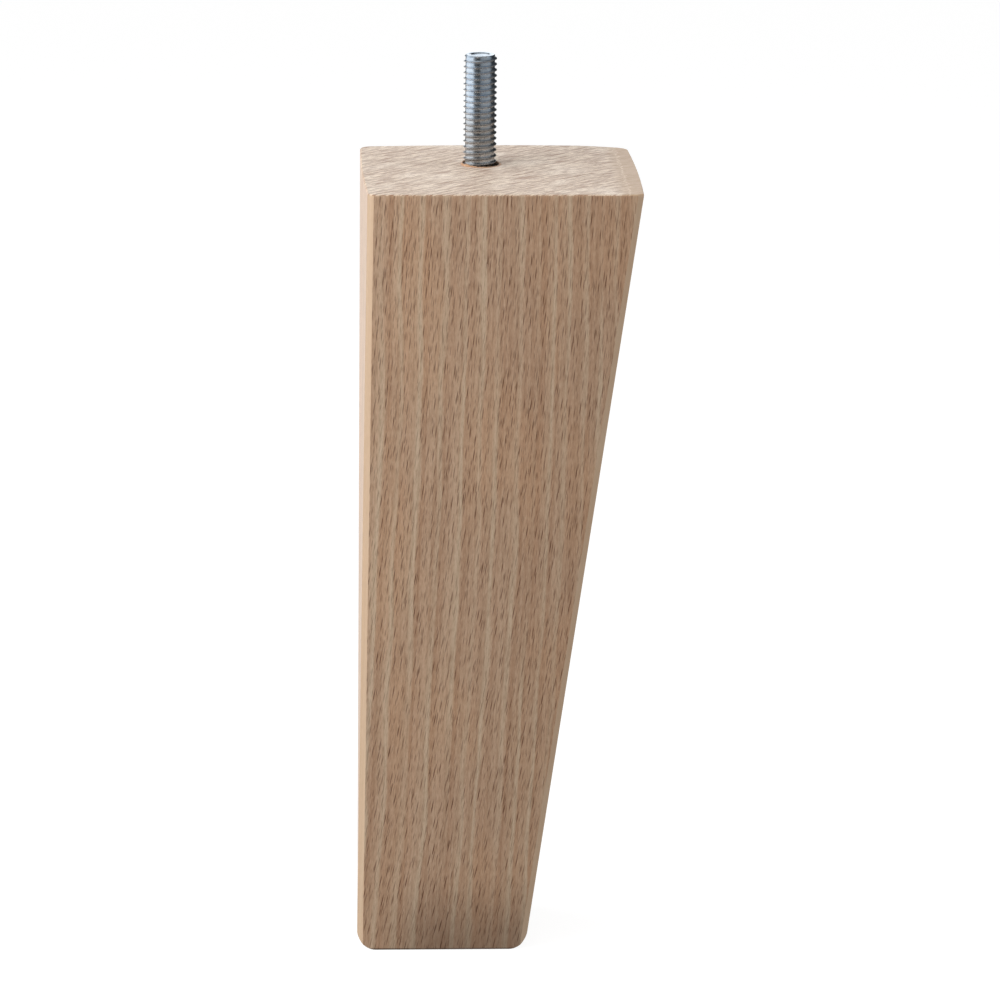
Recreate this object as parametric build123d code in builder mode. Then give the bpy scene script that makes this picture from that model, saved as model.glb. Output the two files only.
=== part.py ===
from build123d import *
from math import atan2, degrees, radians, tan
import os

os.makedirs("parts", exist_ok=True)

# A tapered wooden furniture leg with a double-ended bolt in its top. Millimetres.
# The origin is where the bolt's axis crosses the seat, the leg's sawn top end. +Z runs up the bolt,
# +X points to the slanting side and -Y to the slanting front. The left side and the back stand upright.

# Seat end of the leg
seat_width = 63.5
seat_depth = 63.5
seat_back_bow = 1.6
seat_side_bow = 0.5

# Foot end of the leg
leg_height = 187.8
foot_width = 39.0
foot_depth = 39.0
foot_flare = 1.2
foot_back_bow = 0.6
foot_side_radius = 5.0
foot_front_radius = 0.4
rounding_hair = 0.02
ankle_height = 8.0

# Eased upright edges and seat edge
front_edge_chamfer = 1.4
back_edge_radius = 3.0
seat_edge_chamfer = 0.25
seat_rim_height = 0.65

# The seat is sanded down a little towards its back right corner
sanded_drop = 0.5
sanded_run_back = 11.0

# Where the bolt stands
bolt_from_left = 27.4
bolt_from_back = 24.6

# Bolt: machine thread end, which stands out of the seat
stud_radius = 3.93
stud_length = 26.1
stud_chamfer = 0.65
end_cup_radius = 2.2
end_cup_depth = 0.4

# Bolt: plain blank between its two threads
blank_radius = 3.45
blank_length = 6.4

# Bolt: wood screw thread, which holds in the leg
screw_length = 31.0
screw_pitch = 2.82
screw_root_radius = 2.9
screw_crest_radius = 3.9
screw_crest_flat = 0.25
flank_angle = 30.0
screw_fade = 2.0
ridge_sunk = 0.3
point_length = 6.5
point_radius = 0.5

# Hole in the leg
mouth_radius = 4.5
mouth_depth = 7.4
mouth_shift = (0.45, -0.2)
pilot_clearance = 0.15
pilot_reach = 3.0
drill_point_angle = 118.0

left = -bolt_from_left
right = left + seat_width
back = bolt_from_back - seat_back_bow
front = bolt_from_back - seat_depth
foot_right = left + foot_width
foot_left = left - foot_flare
foot_front = back + foot_back_bow - foot_depth


def rounding(start, end, wall_lean, radius):
    """A sketch of what the rounding of a sole edge takes away, on a plane across that edge.

    The edge runs from start to end with the leg on its left hand, and the wall above it leans
    outwards by wall_lean over the height of the leg. The arc meets the wall from a hair outside.
    """
    edge = Vector(*end) - Vector(*start)
    middle = (Vector(*start) + Vector(*end)) / 2
    corner_angle = 90 + degrees(atan2(wall_lean, leg_height))
    outwards = Vector(-1, 0).rotate(Axis.Z, corner_angle - 90)
    centre = Vector(radius / tan(radians(corner_angle / 2)) - rounding_hair, radius)
    past_wall = centre + outwards * 2 * radius
    across = Plane(origin=middle - Vector(0, 0, leg_height), x_dir=Vector(0, 0, 1).cross(edge), z_dir=edge)
    with BuildSketch(across) as section:
        with BuildLine():
            Polyline(centre, past_wall, (past_wall.X, -radius), (centre.X, -radius), close=True)
        make_face()
        with Locations(centre):
            Circle(radius, mode=Mode.SUBTRACT)
    return section.sketch


def lower_outline(drop):
    """A sketch of the leg's outline at a depth below the seat, where only its back is still bowed."""
    share = drop / leg_height
    left_now = left + (foot_left - left) * share
    right_now = right + (foot_right - right) * share
    front_now = front + (foot_front - front) * share
    back_bow_now = seat_back_bow + (foot_back_bow - seat_back_bow) * share
    with BuildSketch(Plane.XY.offset(-drop)) as section:
        with BuildLine():
            Polyline((left, back), (left_now, front_now), (right_now, front_now), (right_now, back))
            SagittaArc((right_now, back), (left, back), -back_bow_now)
        make_face()
        chamfer(section.vertices().sort_by(Axis.Y)[:2], front_edge_chamfer)
        fillet(section.vertices().sort_by(Axis.Y)[-2:], back_edge_radius)
    return section.sketch


# The thread ridge of the wood screw end, which stands on the bolt and has cut its way into the wood.
# It starts a little below the root, and both its ends fade out along a cone.
screw_top = -blank_length
screw_bottom = screw_top - screw_length
point_top = screw_bottom + point_length
ridge_foot_radius = screw_root_radius - ridge_sunk
ridge_depth = screw_crest_radius - ridge_foot_radius
ridge_half_width = screw_crest_flat / 2 + ridge_depth * tan(radians(flank_angle))
ridge_height = screw_top - point_top - 2 * ridge_half_width

with BuildPart() as screw_ridge:
    with BuildLine() as ridge_path:
        Helix(screw_pitch, ridge_height, ridge_foot_radius, center=(0, 0, point_top + ridge_half_width))
    ridge_start = Plane(origin=ridge_path.line @ 0, x_dir=(1, 0, 0), z_dir=ridge_path.line % 0)
    with BuildSketch(ridge_start):
        with BuildLine():
            Polyline(
                (0, -ridge_half_width),
                (ridge_depth, -screw_crest_flat / 2),
                (ridge_depth, screw_crest_flat / 2),
                (0, ridge_half_width),
                close=True,
            )
        make_face()
    sweep(is_frenet=True)
    with BuildSketch(Plane.XZ):
        fade_foot = ridge_foot_radius + ridge_sunk / 2
        fade_rise = 2 * ridge_depth
        for end, inward in ((point_top, 1), (screw_top, -1)):
            with BuildLine():
                Polyline(
                    (fade_foot, end),
                    (fade_foot + fade_rise, end + inward * 2 * screw_fade),
                    (fade_foot + fade_rise, end - inward * screw_fade),
                    (fade_foot, end - inward * screw_fade),
                    close=True,
                )
            make_face()
    revolve(axis=Axis.Z, mode=Mode.SUBTRACT)

with BuildPart() as hanger_bolt:
    with BuildSketch(Plane.XZ):
        with BuildLine():
            Polyline(
                (0, stud_length),
                (stud_radius - stud_chamfer, stud_length),
                (stud_radius, stud_length - stud_chamfer),
                (stud_radius, 0),
                (blank_radius, 0),
                (blank_radius, -blank_length),
                (screw_root_radius, -blank_length),
                (screw_root_radius, point_top),
                (point_radius, screw_bottom),
                (0, screw_bottom),
                close=True,
            )
        make_face()
    revolve(axis=Axis.Z)
    add(screw_ridge.part)
    # Thread rolling leaves the end face slightly cupped
    cup_sphere = (end_cup_radius**2 + end_cup_depth**2) / (2 * end_cup_depth)
    with Locations((0, 0, stud_length - end_cup_depth + cup_sphere)):
        Sphere(cup_sphere, mode=Mode.SUBTRACT)
hanger_bolt.part.label = "hanger_bolt"

pilot_radius = screw_root_radius + pilot_clearance
pilot_depth = pilot_reach - screw_bottom

# The sanded corner of the seat lies in a plane through the front right corner and a point on the back edge
sanded_start = Vector(right - sanded_run_back, back, 0)
sanded_line = Vector(right, front, 0) - sanded_start
sanded_fall = Vector(right, back, -sanded_drop) - sanded_start
sanded_plane = Plane(origin=sanded_start, x_dir=sanded_line, z_dir=sanded_line.cross(sanded_fall))

with BuildPart() as leg_body:
    with BuildSketch(Plane.XY.offset(-seat_rim_height)) as seat_outline:
        with BuildLine():
            Line((left, front), (right, front))
            SagittaArc((right, front), (right, back), -seat_side_bow)
            SagittaArc((right, back), (left, back), -seat_back_bow)
            SagittaArc((left, back), (left, front), -seat_side_bow)
        make_face()
        chamfer(seat_outline.vertices().sort_by(Axis.Y)[:2], front_edge_chamfer)
        fillet(seat_outline.vertices().sort_by(Axis.Y)[-2:], back_edge_radius)
    ankle_outline = lower_outline(leg_height - ankle_height)
    foot_outline = lower_outline(leg_height)
    loft([seat_outline.sketch, ankle_outline, foot_outline], ruled=True)
    # The sawn end has a short upright rim, and its edge is broken
    extrude(seat_outline.sketch, amount=seat_rim_height - seat_edge_chamfer)
    extrude(leg_body.faces().sort_by(Axis.Z)[-1], amount=seat_edge_chamfer, taper=45)
    # The foot is rounded off well on its left and right, and just eased in front
    right_side = rounding((foot_right, foot_front), (foot_right, back), right - foot_right, foot_side_radius)
    left_side = rounding((left, back), (foot_left, foot_front), -foot_flare / 2, foot_side_radius)
    front_side = rounding(
        (foot_left, foot_front), (foot_right, foot_front), foot_front - front, foot_front_radius
    )
    for side, length in ((right_side, foot_depth), (left_side, foot_depth), (front_side, foot_width)):
        extrude(side, amount=length, both=True, mode=Mode.SUBTRACT)
    split(bisect_by=sanded_plane, keep=Keep.BOTTOM)
    # A stepped hole takes the blank loosely and the wood screw end tightly
    with Locations(mouth_shift):
        Hole(mouth_radius, depth=mouth_depth)
    Hole(pilot_radius, depth=pilot_depth)
    with Locations((0, 0, -pilot_depth)):
        Cone(
            0,
            pilot_radius,
            pilot_radius / tan(radians(drill_point_angle / 2)),
            align=(Align.CENTER, Align.CENTER, Align.MAX),
            mode=Mode.SUBTRACT,
        )
    add(screw_ridge.part, mode=Mode.SUBTRACT)
leg_body.part.label = "leg_body"

export_step(leg_body.part, "parts/leg_body.step")
export_step(hanger_bolt.part, "parts/hanger_bolt.step")
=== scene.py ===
from math import cos, pi, radians, sin, tan

import bmesh
import bpy
from mathutils import Matrix, Vector


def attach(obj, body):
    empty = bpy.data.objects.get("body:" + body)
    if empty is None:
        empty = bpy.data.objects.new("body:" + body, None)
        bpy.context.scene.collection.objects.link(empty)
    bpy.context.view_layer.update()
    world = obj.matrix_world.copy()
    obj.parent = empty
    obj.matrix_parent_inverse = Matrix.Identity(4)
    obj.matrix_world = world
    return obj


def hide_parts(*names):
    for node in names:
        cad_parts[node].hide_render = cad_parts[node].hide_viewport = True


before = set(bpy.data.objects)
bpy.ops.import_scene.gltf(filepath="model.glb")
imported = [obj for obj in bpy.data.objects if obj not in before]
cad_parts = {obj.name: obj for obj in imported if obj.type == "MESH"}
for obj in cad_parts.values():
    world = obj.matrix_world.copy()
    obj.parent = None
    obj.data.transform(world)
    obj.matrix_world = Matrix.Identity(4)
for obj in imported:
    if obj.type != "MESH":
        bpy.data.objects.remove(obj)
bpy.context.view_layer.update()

MM = 0.001

# The leg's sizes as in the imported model, in millimetres
LEG_HEIGHT = 187.8
SEAT_WIDTH = 63.5
FOOT_WIDTH = 39.0
RIGHT_X = 36.1
FRONT_Y = -38.9
FRONT_SLANT = 23.5
FRONT_LEAN = FRONT_SLANT / LEG_HEIGHT
MOUTH_CENTRE = (0.3, -0.3)
FLOOR_Z = -LEG_HEIGHT * MM

# The stud and its machine thread, in metres. The pitch is as the photo shows it, a little finer than
# that of a 5/16 inch thread.
THREAD_PITCH = 1.354 * MM
CREST_RADIUS = 3.93 * MM
ROOT_RADIUS = 3.44 * MM
STUD_LENGTH = 26.1 * MM
STUD_CHAMFER = 0.65 * MM
THREAD_FOOT = -2.6 * MM
CUP_RADIUS = 2.2 * MM
CUP_DEPTH = 0.4 * MM
CUP_STEPS = 6
# Helpers of the cuts stand this far clear of what they cut
CUT_CLEARANCE = 0.4 * MM
LATHE_STEPS = 96
# Edges that turn by more than this are shown crisp
CRISP_ANGLE = radians(32)

# One turn's cross-section, from root to root: rise in pitches, and height from root to crest
THREAD_SECTION = (
    (0.0, 0.0), (0.12, 0.0), (0.24, 0.03), (0.33, 0.14), (0.45, 0.93), (0.482, 1.0),
    (0.518, 1.0), (0.55, 0.93), (0.67, 0.14), (0.76, 0.03), (0.88, 0.0), (1.0, 0.0),
)


# Node helpers
def link(tree, source, target):
    """Joins an output socket, or writes a plain value, to an input socket."""
    if isinstance(source, bpy.types.NodeSocket):
        tree.links.new(source, target)
    else:
        target.default_value = source


def math_node(tree, operation, *values, clamp=False):
    node = tree.nodes.new("ShaderNodeMath")
    node.operation = operation
    node.use_clamp = clamp
    for value, socket in zip(values, node.inputs):
        link(tree, value, socket)
    return node.outputs[0]


def vector_math(tree, operation, *values):
    node = tree.nodes.new("ShaderNodeVectorMath")
    node.operation = operation
    for value, socket in zip(values, node.inputs):
        link(tree, value, socket)
    return node.outputs["Value" if operation == "LENGTH" else "Vector"]


def remap(tree, value, low, high, to_low=0.0, to_high=1.0, smooth=True):
    node = tree.nodes.new("ShaderNodeMapRange")
    node.interpolation_type = "SMOOTHSTEP" if smooth else "LINEAR"
    node.clamp = True
    for name, number in zip(
        ("Value", "From Min", "From Max", "To Min", "To Max"), (value, low, high, to_low, to_high)
    ):
        link(tree, number, node.inputs[name])
    return node.outputs[0]


def combine(tree, x, y, z):
    node = tree.nodes.new("ShaderNodeCombineXYZ")
    for value, socket in zip((x, y, z), node.inputs):
        link(tree, value, socket)
    return node.outputs[0]


def separate(tree, vector):
    node = tree.nodes.new("ShaderNodeSeparateXYZ")
    link(tree, vector, node.inputs[0])
    return node.outputs


def noise(tree, vector, scale, detail=2.0, roughness=0.5, distortion=0.0):
    node = tree.nodes.new("ShaderNodeTexNoise")
    link(tree, vector, node.inputs["Vector"])
    node.inputs["Scale"].default_value = scale
    node.inputs["Detail"].default_value = detail
    node.inputs["Roughness"].default_value = roughness
    node.inputs["Distortion"].default_value = distortion
    return node.outputs["Fac"]


def mix_colour(tree, factor, first, second):
    node = tree.nodes.new("ShaderNodeMix")
    node.data_type = "RGBA"
    link(tree, factor, node.inputs["Factor"])
    link(tree, first, node.inputs[6])
    link(tree, second, node.inputs[7])
    return node.outputs[2]


def curve_lookup(tree, value, points):
    """Looks a value up in a line through (input, output) points, which runs straight on at both ends."""
    node = tree.nodes.new("ShaderNodeFloatCurve")
    node.mapping.use_clip = False
    node.mapping.extend = "EXTRAPOLATED"
    low, high = points[0][0], points[-1][0]
    bottom = min(output for _, output in points)
    rise = max(output for _, output in points) - bottom
    curve = node.mapping.curves[0]
    for _ in points[2:]:
        curve.points.new(0.5, 0.5)
    for point, (entry, output) in zip(curve.points, points):
        point.location = ((entry - low) / (high - low), (output - bottom) / rise)
        point.handle_type = "VECTOR"
    node.mapping.update()
    entry = math_node(tree, "DIVIDE", math_node(tree, "SUBTRACT", value, low), high - low)
    link(tree, entry, node.inputs["Value"])
    return math_node(tree, "MULTIPLY_ADD", node.outputs[0], rise, bottom)


def srgb(red, green, blue):
    """A colour written as 0 to 255 screen values, as linear values."""
    return tuple(
        (c / 255 / 12.92 if c / 255 <= 0.04045 else ((c / 255 + 0.055) / 1.055) ** 2.4)
        for c in (red, green, blue)
    ) + (1.0,)


def new_material(name, roughness, metallic=0.0, specular=0.5):
    material = bpy.data.materials.new(name)
    material.use_nodes = True
    tree = material.node_tree
    shader = tree.nodes["Principled BSDF"]
    shader.inputs["Roughness"].default_value = roughness
    shader.inputs["Metallic"].default_value = metallic
    shader.inputs["Specular IOR Level"].default_value = specular
    return material, tree, shader


def object_millimetres(tree):
    coordinates = tree.nodes.new("ShaderNodeTexCoord").outputs["Object"]
    return vector_math(tree, "MULTIPLY", coordinates, (1000.0, 1000.0, 1000.0))


def seen_directly(tree, rays):
    """1 where the camera sees a surface, also through a transparent one, and 0 in other light paths."""
    return math_node(
        tree, "ADD", rays.outputs["Is Camera Ray"], rays.outputs["Is Transmission Ray"], clamp=True
    )


def add_bump(tree, shader, height, distance, strength):
    bump = tree.nodes.new("ShaderNodeBump")
    bump.inputs["Strength"].default_value = strength
    bump.inputs["Distance"].default_value = distance
    link(tree, height, bump.inputs["Height"])
    link(tree, bump.outputs[0], shader.inputs["Normal"])


# Beech. The growth rings cross the leg at this angle, and meet its front at these places from left to
# right. Each ring's pale band is this strong from one ring's edge to the next.
RING_ANGLE = radians(43)
RING_PLACES = (
    -23.6, -19.2, -14.8, -9.4, -4.4, -0.2, 3.1, 8.6, 12.1, 16.1, 19.3, 23.5, 27.0, 30.2, 34.2,
)
RING_BAND = (
    (0.0, 1.0), (0.09, 0.75), (0.16, 0.08), (0.28, 0.0),
    (0.55, 0.25), (0.8, 0.3), (0.91, 0.75), (1.0, 1.0),
)
# How far the bands and the flecks bend to the left, by the square of the depth below the seat
BAND_BEND = 0.00016
FLECK_BEND = 0.00038

# Side grain
GRAIN_DARK, GRAIN_LIGHT = srgb(184, 146, 117), srgb(202, 168, 140)
WARM_PATCH = srgb(204, 162, 128)
PALE_BAND = srgb(220, 198, 170)
DARK_FIBRE = srgb(146, 108, 80)
DARK_SPECKLE, PALE_SPECKLE = srgb(138, 102, 74), srgb(226, 202, 176)
RAY_FLECK = srgb(96, 60, 38)
RIGHT_SHADE = srgb(96, 70, 50)
# Painted shade for the foot near the floor
FOOT_SHADE = srgb(64, 46, 34)
# Painted sheen on the left side, seen at a grazing angle
LEFT_SIDE_SHEEN = srgb(220, 213, 205)
EDGE_DARK, EDGE_LIGHT = srgb(182, 154, 125), srgb(207, 182, 155)

# End grain and hole
STREAK_DARK, STREAK_LIGHT = srgb(148, 112, 84), srgb(220, 202, 180)
END_WHITE = srgb(234, 220, 202)
FINE_STREAK = srgb(138, 100, 72)
PORE = srgb(170, 138, 112)
SANDED_END = srgb(176, 145, 112)
# Brown painted in the hole, as painted shade, and round its mouth
MOUTH_BROWN = srgb(166, 124, 90)


def flecks(tree, across, radial, along, cell, half, seed):
    """Short spindle marks, one to a cell, some faint and some strong.

    cell and half are a mark's spacing and half size in millimetres: across, radial and along the grain.
    """
    spot = combine(
        tree,
        math_node(tree, "ADD", math_node(tree, "DIVIDE", across, cell[0]), seed),
        math_node(tree, "DIVIDE", radial, cell[1]),
        math_node(tree, "DIVIDE", along, cell[2]),
    )
    cells = tree.nodes.new("ShaderNodeTexVoronoi")
    cells.inputs["Scale"].default_value = 1.0
    cells.inputs["Randomness"].default_value = 0.85
    link(tree, spot, cells.inputs["Vector"])
    offset = vector_math(tree, "SUBTRACT", spot, cells.outputs["Position"])
    stretched = vector_math(tree, "MULTIPLY", offset, tuple(c / h for c, h in zip(cell, half)))
    distance = vector_math(tree, "LENGTH", stretched)
    chance = separate(tree, cells.outputs["Color"])[0]
    strength = math_node(tree, "MULTIPLY_ADD", chance, 0.4, 0.6)
    return math_node(tree, "MULTIPLY", remap(tree, distance, 0.35, 1.0, 1.0, 0.0), strength)


def grain_directions(tree, x, y):
    """Distances across the growth rings and along them, in a plan view."""
    radial = math_node(
        tree,
        "ADD",
        math_node(tree, "MULTIPLY", x, -sin(RING_ANGLE)),
        math_node(tree, "MULTIPLY", y, cos(RING_ANGLE)),
    )
    across = math_node(
        tree,
        "ADD",
        math_node(tree, "MULTIPLY", x, cos(RING_ANGLE)),
        math_node(tree, "MULTIPLY", y, sin(RING_ANGLE)),
    )
    return radial, across


def beech_material():
    material, tree, shader = new_material("beech, sanded", roughness=0.6, specular=0.45)
    shader.inputs["Sheen Weight"].default_value = 0.25
    shader.inputs["Sheen Roughness"].default_value = 0.4
    place = object_millimetres(tree)
    x, y, z = separate(tree, place)
    # The grain runs down along the sloping front, so depth is measured from there
    depth = math_node(tree, "MULTIPLY_ADD", z, FRONT_LEAN, math_node(tree, "SUBTRACT", y, FRONT_Y))
    z_squared = math_node(tree, "MULTIPLY", z, z)
    wave = noise(tree, vector_math(tree, "MULTIPLY", place, (0.03, 0.03, 0.012)), 1.0, 1.0)
    wave = math_node(tree, "SUBTRACT", wave, 0.5)

    # The pale bands stand nearly upright, and bend to the left towards the foot
    band_x = math_node(tree, "MULTIPLY_ADD", z_squared, BAND_BEND, x)
    band_x = math_node(tree, "MULTIPLY_ADD", wave, 1.6, band_x)
    radial, across = grain_directions(tree, band_x, depth)
    ring_x = math_node(tree, "MULTIPLY_ADD", depth, -1 / tan(RING_ANGLE), band_x)
    counted = [(spot, number) for number, spot in enumerate(RING_PLACES)]
    ring_count = curve_lookup(tree, ring_x, counted)
    wobble_place = combine(
        tree, math_node(tree, "MULTIPLY", ring_x, 0.8), depth, math_node(tree, "MULTIPLY", z, 0.12)
    )
    ring_wobble = noise(tree, wobble_place, 0.25, 2.0)
    ring_wobble = remap(tree, ring_wobble, 0.3, 0.7, -0.14, 0.14, smooth=False)
    ring_count = math_node(tree, "ADD", ring_count, ring_wobble)
    ring_phase = math_node(tree, "FRACT", ring_count)
    band = curve_lookup(tree, ring_phase, RING_BAND)
    ring_seed = math_node(tree, "ROUND", ring_count)
    strength_place = combine(
        tree, math_node(tree, "MULTIPLY", ring_seed, 3.7), 0.5, math_node(tree, "MULTIPLY", z, 0.012)
    )
    ring_strength = noise(tree, strength_place, 1.0, 0.0)
    ring_strength = remap(tree, ring_strength, 0.3, 0.62, 0.25, 1.0, smooth=False)
    band = math_node(tree, "MULTIPLY", band, ring_strength)
    ring_place = combine(
        tree, radial, math_node(tree, "MULTIPLY", across, 0.03), math_node(tree, "MULTIPLY", z, 0.004)
    )
    fine_rings = noise(tree, ring_place, 1.3, 3.0, 0.6)
    fibre_place = combine(tree, radial, across, math_node(tree, "MULTIPLY", z, 0.05))
    fibres = noise(tree, fibre_place, 2.2, 3.0, 0.7)
    speckle_place = combine(tree, radial, across, math_node(tree, "MULTIPLY", z, 0.17))
    speckle = noise(tree, speckle_place, 3.4, 2.0, 0.7)
    patches = noise(tree, vector_math(tree, "MULTIPLY", place, (0.07, 0.07, 0.025)), 1.0, 3.0)

    # Side grain
    side = mix_colour(tree, remap(tree, fine_rings, 0.35, 0.65), GRAIN_DARK, GRAIN_LIGHT)
    side = mix_colour(tree, remap(tree, patches, 0.42, 0.66, 0.0, 0.6), side, WARM_PATCH)
    side = mix_colour(tree, math_node(tree, "MULTIPLY", band, 0.75), side, PALE_BAND)
    side = mix_colour(tree, remap(tree, fibres, 0.4, 0.7, 0.0, 0.34), side, DARK_FIBRE)
    side = mix_colour(tree, remap(tree, speckle, 0.45, 0.75, 0.0, 0.36), side, DARK_SPECKLE)
    side = mix_colour(tree, remap(tree, speckle, 0.5, 0.25, 0.0, 0.25), side, PALE_SPECKLE)

    # Dark ray flecks lean to the left on their way down, more so near the foot
    fleck_x = math_node(tree, "SUBTRACT", x, math_node(tree, "MULTIPLY", z, 0.07))
    fleck_x = math_node(tree, "MULTIPLY_ADD", z_squared, FLECK_BEND, fleck_x)
    fleck_x = math_node(tree, "MULTIPLY_ADD", wave, 1.2, fleck_x)
    fleck_radial, fleck_across = grain_directions(tree, fleck_x, depth)
    rays = flecks(tree, fleck_across, fleck_radial, z, (0.85, 4.4, 4.0), (0.125, 2.7, 2.3), 3.7)
    short_rays = flecks(tree, fleck_across, fleck_radial, z, (0.7, 3.0, 2.5), (0.1, 1.6, 1.3), 11.3)
    marks = math_node(tree, "MAXIMUM", rays, math_node(tree, "MULTIPLY", short_rays, 0.7))
    off_band = math_node(tree, "MULTIPLY_ADD", band, -0.6, 1.0)
    marks = math_node(tree, "MULTIPLY", marks, off_band)

    # The eased upright edges are sanded plain and pale, so they show no flecks
    geometry = tree.nodes.new("ShaderNodeNewGeometry")
    facing = separate(tree, geometry.outputs["True Normal"])
    eased = math_node(tree, "ABSOLUTE", math_node(tree, "MULTIPLY", facing[0], facing[1]))
    eased = remap(tree, eased, 0.25, 0.42, 0.0, 0.75)
    marks = math_node(tree, "MULTIPLY", marks, math_node(tree, "MULTIPLY_ADD", eased, -1.25, 1.0))
    side = mix_colour(tree, marks, side, RAY_FLECK)

    # The sides are coloured a little darker towards the right, at each height by its share of the width
    # there
    narrowing = (SEAT_WIDTH - FOOT_WIDTH) / LEG_HEIGHT
    width_here = math_node(tree, "MULTIPLY_ADD", z, narrowing, SEAT_WIDTH)
    share = math_node(tree, "DIVIDE", math_node(tree, "SUBTRACT", x, RIGHT_X - SEAT_WIDTH), width_here)
    darker = remap(tree, share, 0.1, 0.95, 0.0, 0.18, smooth=False)
    side = mix_colour(tree, darker, side, RIGHT_SHADE)

    # Painted shade near the floor: the foot is painted darker downwards, least on its left, and darkest
    # along its lowest edge
    foot_shade = remap(tree, z, -187.1, -187.5, 0.0, 0.75)
    downwards = remap(tree, z, -166.0, -187.0, 0.0, 0.42)
    from_left = remap(tree, x, -26.0, -10.0, 0.15, 0.95)
    shade_towards_floor = math_node(tree, "MULTIPLY", downwards, from_left)
    foot_shade = math_node(tree, "MAXIMUM", foot_shade, shade_towards_floor)
    side = mix_colour(tree, foot_shade, side, FOOT_SHADE)

    # The left side is painted paler, a painted sheen of the light it catches at a grazing view. The
    # eased edges come last, over everything else on the sides.
    side = mix_colour(tree, remap(tree, facing[0], -0.8, -0.95, 0.0, 0.28), side, LEFT_SIDE_SHEEN)
    side = mix_colour(tree, eased, side, mix_colour(tree, fibres, EDGE_DARK, EDGE_LIGHT))

    # End grain: pale and pinkish streaks along the rings, in uneven patches
    streak_place = combine(tree, radial, math_node(tree, "MULTIPLY", across, 0.09), 0.0)
    streaks = noise(tree, streak_place, 1.25, 3.0, 0.7, 0.1)
    fine_streaks = noise(tree, streak_place, 3.8, 2.0, 0.6)
    blotch_place = combine(
        tree, math_node(tree, "MULTIPLY", radial, 0.16), math_node(tree, "MULTIPLY", across, 0.07), 3.0
    )
    blotches = noise(tree, blotch_place, 1.0, 2.0)
    pores = noise(tree, place, 3.0, 2.0, 0.7)
    end = mix_colour(tree, remap(tree, streaks, 0.43, 0.55), STREAK_DARK, STREAK_LIGHT)
    end = mix_colour(tree, math_node(tree, "MULTIPLY", band, 0.45), end, END_WHITE)
    end = mix_colour(tree, remap(tree, blotches, 0.5, 0.7, 0.0, 0.7), end, END_WHITE)
    end = mix_colour(tree, remap(tree, fine_streaks, 0.5, 0.6, 0.0, 0.75), end, FINE_STREAK)
    end = mix_colour(tree, remap(tree, pores, 0.45, 0.7, 0.0, 0.4), end, PORE)

    # Its right end is sanded plain, up to a faint pale squiggle
    squiggle = noise(tree, combine(tree, 0.0, math_node(tree, "MULTIPLY", y, 0.5), 0.0), 1.0, 3.0, 0.7)
    from_right = math_node(tree, "SUBTRACT", RIGHT_X, x)
    from_squiggle = math_node(tree, "MULTIPLY_ADD", squiggle, -5.0, from_right)
    sanded = remap(tree, from_squiggle, 0.0, 4.0, 0.8, 0.0)
    end = mix_colour(tree, sanded, end, SANDED_END)
    from_line = math_node(tree, "ABSOLUTE", math_node(tree, "SUBTRACT", from_squiggle, 0.6))
    line = remap(tree, from_line, 0.0, 0.35, 0.8, 0.0)
    line = math_node(tree, "MULTIPLY", line, remap(tree, pores, 0.4, 0.6))
    end = mix_colour(tree, line, end, END_WHITE)

    facing_up = math_node(tree, "ABSOLUTE", facing[2])
    colour = mix_colour(tree, remap(tree, facing_up, 0.5, 0.8), side, end)

    # The drilled hole is painted brown, and so is a thin ring of wood round its mouth with the torn rim
    # on it; in the hole this is painted shade
    from_mouth = vector_math(
        tree,
        "LENGTH",
        combine(
            tree,
            math_node(tree, "SUBTRACT", x, MOUTH_CENTRE[0]),
            math_node(tree, "SUBTRACT", y, MOUTH_CENTRE[1]),
            0.0,
        ),
    )
    in_hole = math_node(
        tree, "MULTIPLY", remap(tree, from_mouth, 4.75, 5.05, 1.0, 0.0), remap(tree, z, -60.0, -50.0)
    )
    colour = mix_colour(tree, math_node(tree, "MULTIPLY", in_hole, 0.85), colour, MOUTH_BROWN)
    link(tree, colour, shader.inputs["Base Color"])

    rough = remap(tree, fibres, 0.3, 0.7, 0.52, 0.68, smooth=False)
    link(tree, math_node(tree, "MULTIPLY_ADD", marks, 0.1, rough), shader.inputs["Roughness"])
    raised = math_node(tree, "MULTIPLY", fibres, 0.5)
    sunk = math_node(tree, "MULTIPLY", marks, 0.8)
    height = math_node(tree, "SUBTRACT", raised, sunk)
    add_bump(tree, shader, height, 0.05 * MM, 0.6)
    return material


# Zinc plate: bluish towards the end of the stud, and greyer near the wood
BLUISH_DARK, BLUISH_LIGHT = srgb(186, 204, 222), srgb(214, 226, 238)
GREY_DARK, GREY_LIGHT = srgb(172, 178, 183), srgb(202, 207, 212)
DULL_SPECK = srgb(120, 126, 132)
# Painted shade in the roots of the thread
ROOT_SHADE = srgb(112, 116, 122)
RUBBED_CREST = srgb(216, 214, 212)


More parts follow.
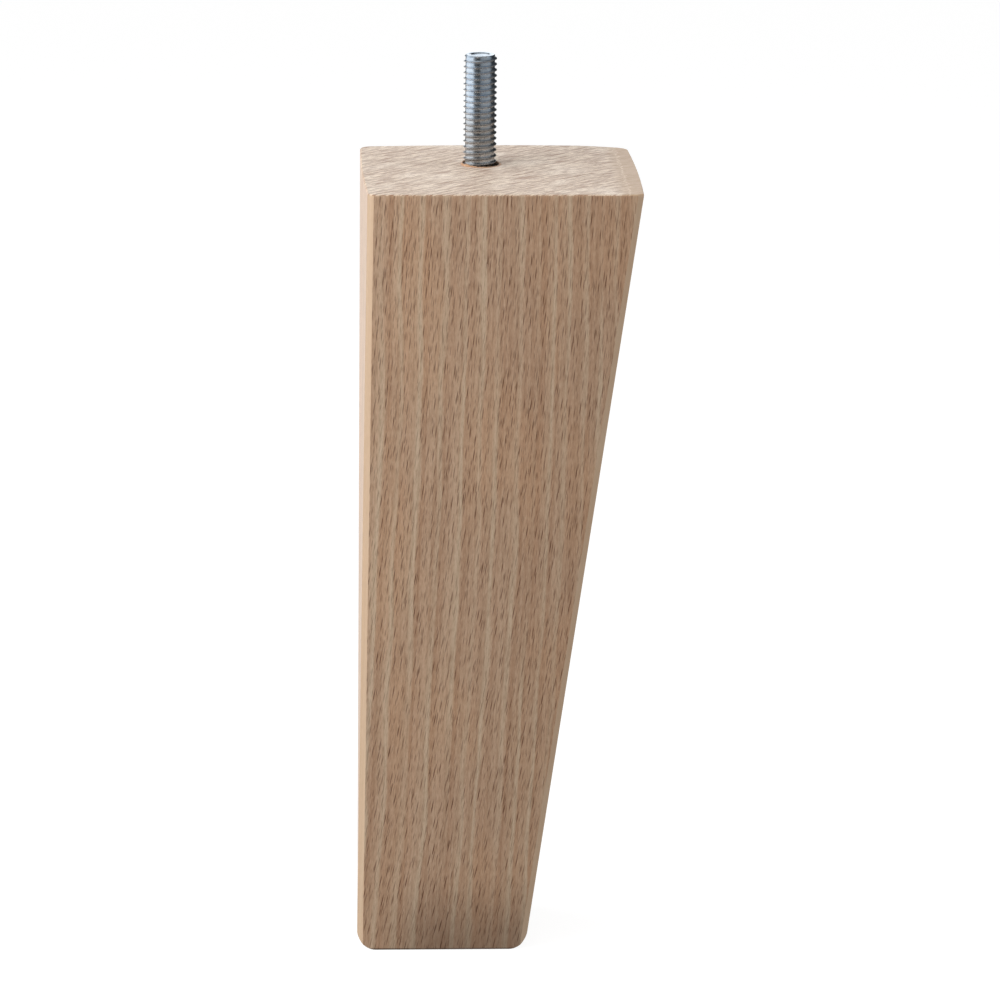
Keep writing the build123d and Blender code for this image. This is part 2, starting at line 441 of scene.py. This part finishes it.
def zinc_material():
    material, tree, shader = new_material("zinc plate, satin", roughness=0.3, metallic=1.0)
    place = object_millimetres(tree)
    z = separate(tree, place)[2]
    cloud = noise(tree, place, 0.35, 3.0, 0.6)
    specks = noise(tree, place, 2.4, 3.0, 0.7)
    bluish = mix_colour(tree, remap(tree, cloud, 0.35, 0.65), BLUISH_DARK, BLUISH_LIGHT)
    grey = mix_colour(tree, remap(tree, cloud, 0.35, 0.65), GREY_DARK, GREY_LIGHT)
    colour = mix_colour(tree, remap(tree, z, 9.0, 15.0), grey, bluish)
    colour = mix_colour(tree, remap(tree, specks, 0.58, 0.72, 0.0, 0.4), colour, DULL_SPECK)
    # Painted shade: the roots of the thread are painted a dull darker grey
    radius = vector_math(tree, "LENGTH", vector_math(tree, "MULTIPLY", place, (1.0, 1.0, 0.0)))
    stud_end = STUD_LENGTH / MM
    on_side = remap(tree, z, stud_end - 0.6, stud_end - 0.3, 1.0, 0.0)
    in_root = math_node(tree, "MULTIPLY", remap(tree, radius, 3.48, 3.6, 0.2, 0.0), on_side)
    colour = mix_colour(tree, in_root, colour, ROOT_SHADE)
    # The crests are rubbed dull and pale
    on_crest = remap(tree, radius, 3.82, 3.9)
    on_crest = math_node(tree, "MULTIPLY", on_crest, remap(tree, z, -1.0, 0.0))
    colour = mix_colour(tree, on_crest, colour, RUBBED_CREST)
    link(tree, colour, shader.inputs["Base Color"])
    rough = remap(tree, specks, 0.3, 0.7, 0.2, 0.34, smooth=False)
    link(tree, math_node(tree, "MULTIPLY_ADD", on_crest, 0.22, rough), shader.inputs["Roughness"])
    add_bump(tree, shader, specks, 0.01 * MM, 0.25)
    return material


# The stud's thread by Geometry Nodes, and the two pieces
def thread_tree():
    """A tree that winds a thread's cross-section up a helix, as an open skin of exact turns."""
    tree = bpy.data.node_groups.new("wound thread", "GeometryNodeTree")
    for name, kind, value in (
        ("Crest Radius", "NodeSocketFloat", CREST_RADIUS),
        ("Root Radius", "NodeSocketFloat", ROOT_RADIUS),
        ("Pitch", "NodeSocketFloat", THREAD_PITCH),
        ("Turns", "NodeSocketInt", 8),
        ("Steps per Turn", "NodeSocketInt", 72),
        ("Bottom", "NodeSocketFloat", 0.0),
        ("Material", "NodeSocketMaterial", None),
    ):
        socket = tree.interface.new_socket(name=name, in_out="INPUT", socket_type=kind)
        if value is not None:
            socket.default_value = value
    tree.interface.new_socket(name="Geometry", in_out="OUTPUT", socket_type="NodeSocketGeometry")
    sizes = tree.nodes.new("NodeGroupInput").outputs
    grid = tree.nodes.new("GeometryNodeMeshGrid")
    grid.inputs["Size X"].default_value = 1.0
    grid.inputs["Size Y"].default_value = 1.0
    steps = math_node(tree, "MULTIPLY", sizes["Turns"], sizes["Steps per Turn"])
    link(tree, math_node(tree, "ADD", steps, 1.0), grid.inputs["Vertices X"])
    grid.inputs["Vertices Y"].default_value = len(THREAD_SECTION)
    along, over, _ = separate(tree, tree.nodes.new("GeometryNodeInputPosition").outputs[0])
    along = math_node(tree, "ADD", along, 0.5)
    over = math_node(tree, "ADD", over, 0.5)
    rise = section_curve(tree, over, 0)
    height = section_curve(tree, over, 1)
    turn = math_node(tree, "MULTIPLY", along, sizes["Turns"])
    angle = math_node(tree, "MULTIPLY", turn, 2 * pi)
    depth = math_node(tree, "SUBTRACT", sizes["Crest Radius"], sizes["Root Radius"])
    radius = math_node(tree, "MULTIPLY_ADD", height, depth, sizes["Root Radius"])
    up = math_node(
        tree, "MULTIPLY_ADD", math_node(tree, "ADD", turn, rise), sizes["Pitch"], sizes["Bottom"]
    )
    place = combine(
        tree,
        math_node(tree, "MULTIPLY", radius, math_node(tree, "COSINE", angle)),
        math_node(tree, "MULTIPLY", radius, math_node(tree, "SINE", angle)),
        up,
    )
    wound = tree.nodes.new("GeometryNodeSetPosition")
    link(tree, grid.outputs["Mesh"], wound.inputs["Geometry"])
    link(tree, place, wound.inputs["Position"])
    merged = tree.nodes.new("GeometryNodeMergeByDistance")
    merged.inputs["Distance"].default_value = 0.002 * MM
    link(tree, wound.outputs[0], merged.inputs["Geometry"])
    realized = tree.nodes.new("GeometryNodeRealizeInstances")
    link(tree, merged.outputs[0], realized.inputs[0])
    finished = tree.nodes.new("GeometryNodeSetMaterial")
    link(tree, realized.outputs[0], finished.inputs["Geometry"])
    link(tree, sizes["Material"], finished.inputs["Material"])
    link(tree, finished.outputs[0], tree.nodes.new("NodeGroupOutput").inputs[0])
    return tree


def section_curve(tree, over, column):
    """Looks up one column of the cross-section by the grid's row."""
    last = len(THREAD_SECTION) - 1
    points = [(row / last, values[column]) for row, values in enumerate(THREAD_SECTION)]
    return curve_lookup(tree, over, points)


def link_object(name, mesh):
    piece = bpy.data.objects.new(name, mesh)
    bpy.context.scene.collection.objects.link(piece)
    return piece


def plain_mesh(piece, name):
    """The piece as its modifiers leave it, as a plain mesh, with the modifiers taken off."""
    bpy.context.view_layer.update()
    evaluated = piece.evaluated_get(bpy.context.evaluated_depsgraph_get())
    mesh = bpy.data.meshes.new_from_object(evaluated)
    mesh.name = name
    piece.modifiers.clear()
    piece.data = mesh
    return piece


def wind_thread(name, tree, **sizes):
    piece = link_object(name, bpy.data.meshes.new(name))
    modifier = piece.modifiers.new("wound thread", "NODES")
    modifier.node_group = tree
    for item in tree.interface.items_tree:
        if item.in_out == "INPUT" and item.name.replace(" ", "_") in sizes:
            modifier[item.identifier] = sizes[item.name.replace(" ", "_")]
    return plain_mesh(piece, name)


def cut_level(mesh, height, keep_below):
    """Cuts a skin level at a height, and closes it there with one face."""
    shape = bmesh.new()
    shape.from_mesh(mesh)
    cut = bmesh.ops.bisect_plane(
        shape,
        geom=shape.verts[:] + shape.edges[:] + shape.faces[:],
        plane_co=(0, 0, height),
        plane_no=(0, 0, 1),
        clear_outer=keep_below,
        clear_inner=not keep_below,
    )
    rim = [part for part in cut["geom_cut"] if isinstance(part, bmesh.types.BMEdge)]
    bmesh.ops.contextual_create(shape, geom=rim)
    bmesh.ops.recalc_face_normals(shape, faces=shape.faces[:])
    shape.to_mesh(mesh)
    shape.free()


def lathe(name, profile):
    """A closed turned shape round the bolt's axis, from (radius, height) points from axis to axis."""
    shape = bmesh.new()
    angles = [2 * pi * i / LATHE_STEPS for i in range(LATHE_STEPS)]
    rings = []
    for radius, height in profile:
        if radius == 0:
            rings.append([shape.verts.new((0, 0, height))])
        else:
            rings.append([
                shape.verts.new((radius * cos(angle), radius * sin(angle), height)) for angle in angles
            ])
    for lower, upper in zip(rings, rings[1:]):
        for i in range(LATHE_STEPS):
            j = (i + 1) % LATHE_STEPS
            around = ((lower, i), (lower, j), (upper, j), (upper, i))
            corners = [ring[k % len(ring)] for ring, k in around]
            # An end on the axis is one point, so its faces have three corners
            shape.faces.new(list(dict.fromkeys(corners)))
    bmesh.ops.recalc_face_normals(shape, faces=shape.faces[:])
    mesh = bpy.data.meshes.new(name)
    shape.to_mesh(mesh)
    shape.free()
    return link_object(name, mesh)


def boolean(piece, other, operation):
    modifier = piece.modifiers.new(operation.lower(), "BOOLEAN")
    modifier.operation = operation
    modifier.solver = "EXACT"
    modifier.object = other
    plain_mesh(piece, piece.name)
    bpy.data.objects.remove(other)


def make_bolt(zinc):
    """The bolt with its real machine thread above, and its blank and wood screw end as packed below."""
    # Spare turns at both ends are cut off level
    turns = int((STUD_LENGTH - THREAD_FOOT) / THREAD_PITCH) + 5
    bolt = wind_thread(
        "threaded_hanger_bolt",
        thread_tree(),
        Turns=turns,
        Bottom=THREAD_FOOT - 2 * THREAD_PITCH,
        Material=zinc,
    )
    cut_level(bolt.data, STUD_LENGTH + 0.5 * MM, keep_below=True)
    cut_level(bolt.data, THREAD_FOOT, keep_below=False)
    # A turned blank gives the end its chamfer and its cup
    wide = CREST_RADIUS + CUT_CLEARANCE
    below = THREAD_FOOT - 1 * MM
    cup_angles = [pi / 2 * i / CUP_STEPS for i in range(CUP_STEPS)]
    cup = [(CUP_RADIUS * cos(angle), STUD_LENGTH - CUP_DEPTH * sin(angle)) for angle in cup_angles]
    blank = lathe(
        "turned blank",
        [
            (0, below),
            (wide, below),
            (wide, STUD_LENGTH - STUD_CHAMFER - CUT_CLEARANCE),
            (CREST_RADIUS - STUD_CHAMFER, STUD_LENGTH),
            *cup,
            (0, STUD_LENGTH - CUP_DEPTH),
        ],
    )
    boolean(bolt, blank, "INTERSECT")
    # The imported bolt, welded along its seams, gives everything below the machine thread
    lower = link_object("lower end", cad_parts["hanger_bolt"].data.copy())
    merge = bmesh.new()
    merge.from_mesh(lower.data)
    bmesh.ops.remove_doubles(merge, verts=merge.verts[:], dist=0.001 * MM)
    merge.to_mesh(lower.data)
    merge.free()
    cut_level(lower.data, THREAD_FOOT + 0.05 * MM, keep_below=True)
    boolean(bolt, lower, "UNION")
    bolt.data.materials.clear()
    bolt.data.materials.append(zinc)
    for face in bolt.data.polygons:
        face.material_index = 0
        face.use_smooth = True
    bolt.data.set_sharp_from_angle(angle=CRISP_ANGLE)
    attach(bolt, "root")
    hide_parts("hanger_bolt")


# The torn rim is lowest at this angle round the hole, and runs round it in this many steps
RIM_LOW_ANGLE = radians(-48)
RIM_STEPS = 144


def make_torn_rim(beech):
    """A low ragged ring: the fibres torn up round the mouth of the hole, which lean in over it."""
    shape = bmesh.new()
    rings = []
    for i in range(RIM_STEPS):
        angle = 2 * pi * i / RIM_STEPS
        away = (1 - cos(angle - RIM_LOW_ANGLE)) / 2
        ragged = 0.75 + 0.15 * sin(5 * angle + 1) + 0.1 * sin(13 * angle + 2) + 0.08 * sin(29 * angle)
        height = (0.12 + 0.52 * min(1.0, away * 1.8)) * ragged
        # Radius and rise in millimetres, from inside the mouth over the ridge and down into the wood
        section = (
            (4.25, -0.4), (4.25, 0.6 * height), (4.36, height), (4.6, 0.55 * height), (4.8, -0.08),
        )
        rings.append([
            shape.verts.new((
                (MOUTH_CENTRE[0] + radius * cos(angle)) * MM,
                (MOUTH_CENTRE[1] + radius * sin(angle)) * MM,
                rise * MM,
            ))
            for radius, rise in section
        ])
    for i, ring in enumerate(rings):
        following = rings[(i + 1) % RIM_STEPS]
        for j in range(len(ring)):
            k = (j + 1) % len(ring)
            shape.faces.new((ring[j], following[j], following[k], ring[k]))
    bmesh.ops.recalc_face_normals(shape, faces=shape.faces[:])
    mesh = bpy.data.meshes.new("torn_fibre_rim")
    shape.to_mesh(mesh)
    shape.free()
    mesh.materials.append(beech)
    for face in mesh.polygons:
        face.use_smooth = True
    rim = link_object("torn_fibre_rim", mesh)
    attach(rim, "root")


beech = beech_material()
zinc = zinc_material()
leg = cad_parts["leg_body"]
leg.data.materials.clear()
leg.data.materials.append(beech)
make_bolt(zinc)
make_torn_rim(beech)


# Floor, light and camera.
# How bright the studio looks in reflections, by the angle round the leg in degrees: 0 is towards the
# camera and 90 to the right. It is bright on the left and straight behind, and dim in front and at
# both rear corners, which gives the stud's turns dark outlines.
STUDIO = (
    (-180, 0.9), (-174, 0.1), (-152, 0.1), (-138, 1.35), (-62, 1.3), (-50, 0.15), (-8, 0.02),
    (4, 0.33), (80, 0.44), (96, 0.04), (168, 0.04), (180, 0.9),
)


def by_angle(tree, x, y):
    angle = math_node(tree, "ARCTAN2", x, math_node(tree, "MULTIPLY", y, -1.0))
    return curve_lookup(tree, math_node(tree, "MULTIPLY", angle, 180 / pi), STUDIO)


# How far the floor reaches each way, in metres, and how brightly the camera sees it
FLOOR_REACH = 6.0
FLOOR_GLOW = 0.9
BLACK, DIM_GREY, WHITE = ((level, level, level, 1.0) for level in (0.0, 0.16, 1.0))


def make_floor():
    mesh = bpy.data.meshes.new("floor")
    ways = ((-1, -1), (1, -1), (1, 1), (-1, 1))
    corners = [(x * FLOOR_REACH, y * FLOOR_REACH, FLOOR_Z) for x, y in ways]
    mesh.from_pydata(corners, [], [(0, 1, 2, 3)])
    floor = link_object("floor", mesh)
    material, tree, shader = new_material("pale floor", roughness=0.9, specular=0.1)
    rays = tree.nodes.new("ShaderNodeLightPath")
    base = mix_colour(tree, rays.outputs["Is Glossy Ray"], DIM_GREY, BLACK)
    link(tree, base, shader.inputs["Base Color"])
    seen = seen_directly(tree, rays)
    x, y, _ = separate(tree, tree.nodes.new("ShaderNodeTexCoord").outputs["Object"])
    mirrored = math_node(tree, "MULTIPLY", by_angle(tree, x, y), rays.outputs["Is Glossy Ray"])
    glow = math_node(tree, "MULTIPLY_ADD", seen, FLOOR_GLOW, mirrored)
    link(tree, glow, shader.inputs["Emission Strength"])
    shader.inputs["Emission Color"].default_value = WHITE
    mesh.materials.append(material)


# How much light the room gives to surfaces that don't mirror it
ROOM_LIGHT = 0.45


def make_world():
    """White to the camera, even light for the wood, and a studio with a bright window in reflections."""
    world = bpy.data.worlds.new("studio")
    bpy.context.scene.world = world
    world.use_nodes = True
    tree = world.node_tree
    background = tree.nodes["Background"]
    background.inputs["Color"].default_value = WHITE
    rays = tree.nodes.new("ShaderNodeLightPath")
    seen = seen_directly(tree, rays)
    direction = separate(tree, tree.nodes.new("ShaderNodeTexCoord").outputs["Generated"])
    low = by_angle(tree, direction[0], direction[1])
    window = remap(tree, math_node(tree, "ABSOLUTE", direction[0]), 0.08, 0.26, 1.5, 0.0)
    window = math_node(tree, "MULTIPLY", window, remap(tree, direction[1], 0.2, 0.9))
    low = math_node(tree, "MAXIMUM", low, window)
    overhead = remap(tree, direction[2], 0.45, 0.85)
    ceiling = remap(tree, direction[0], -0.6, 0.4, 0.6, 0.15)
    mirrored = math_node(
        tree,
        "ADD",
        math_node(tree, "MULTIPLY", low, math_node(tree, "SUBTRACT", 1.0, overhead)),
        math_node(tree, "MULTIPLY", overhead, ceiling),
    )
    glossy = rays.outputs["Is Glossy Ray"]
    mirrored = math_node(tree, "MULTIPLY", mirrored, glossy)
    plain = math_node(tree, "MULTIPLY", math_node(tree, "SUBTRACT", 1.0, glossy), ROOM_LIGHT)
    strength = math_node(tree, "MAXIMUM", math_node(tree, "ADD", mirrored, plain), seen)
    link(tree, strength, background.inputs["Strength"])


# The lamps point at the middle of the leg
LAMP_AIM = Vector((0.0, 0.0, -0.09))


def soft_light(name, place, width, watts):
    """A square lamp that the stud doesn't mirror: its reflections come from the studio alone."""
    lamp = bpy.data.lights.new(name, "AREA")
    lamp.shape = "SQUARE"
    lamp.size = width
    lamp.energy = watts
    light = link_object(name, lamp)
    light.visible_glossy = False
    light.location = place
    light.rotation_euler = (LAMP_AIM - Vector(place)).to_track_quat("-Z", "Y").to_euler()


# The camera that was fitted to the photo
CAMERA_TARGET = Vector((5.025, -8.93, -79.01)) * MM
CAMERA_AZIMUTH = radians(2.857)
CAMERA_ELEVATION = radians(13.305)
CAMERA_ROLL = radians(0.480)
CAMERA_DISTANCE = 1634.2 * MM
CAMERA_LENS = 249.05
CAMERA_SENSOR = 36.0
CAMERA_CLIP_END = 30.0


def make_camera():
    data = bpy.data.cameras.new("camera")
    data.lens = CAMERA_LENS
    data.sensor_width = CAMERA_SENSOR
    data.clip_end = CAMERA_CLIP_END
    camera = link_object("camera", data)
    outwards = Vector((
        -sin(CAMERA_AZIMUTH) * cos(CAMERA_ELEVATION),
        -cos(CAMERA_AZIMUTH) * cos(CAMERA_ELEVATION),
        sin(CAMERA_ELEVATION),
    ))
    camera.location = CAMERA_TARGET + outwards * CAMERA_DISTANCE
    rotation = (-outwards).to_track_quat("-Z", "Y").to_matrix()
    camera.rotation_euler = (rotation @ Matrix.Rotation(CAMERA_ROLL, 3, "Z")).to_euler()
    bpy.context.scene.camera = camera


make_floor()
make_world()
soft_light("key from the left", (-0.64, -0.31, 0.25), 0.55, 5.2)
soft_light("fill from the front", (-0.3, -0.75, 0.65), 0.8, 2.9)
soft_light("rim light from the left rear", (-0.8, 0.4, 0.27), 0.6, 4.0)
soft_light("weak light from the right", (1.0, -0.05, 0.12), 0.6, 5.2)
make_camera()
bpy.context.scene.view_settings.view_transform = "Standard"
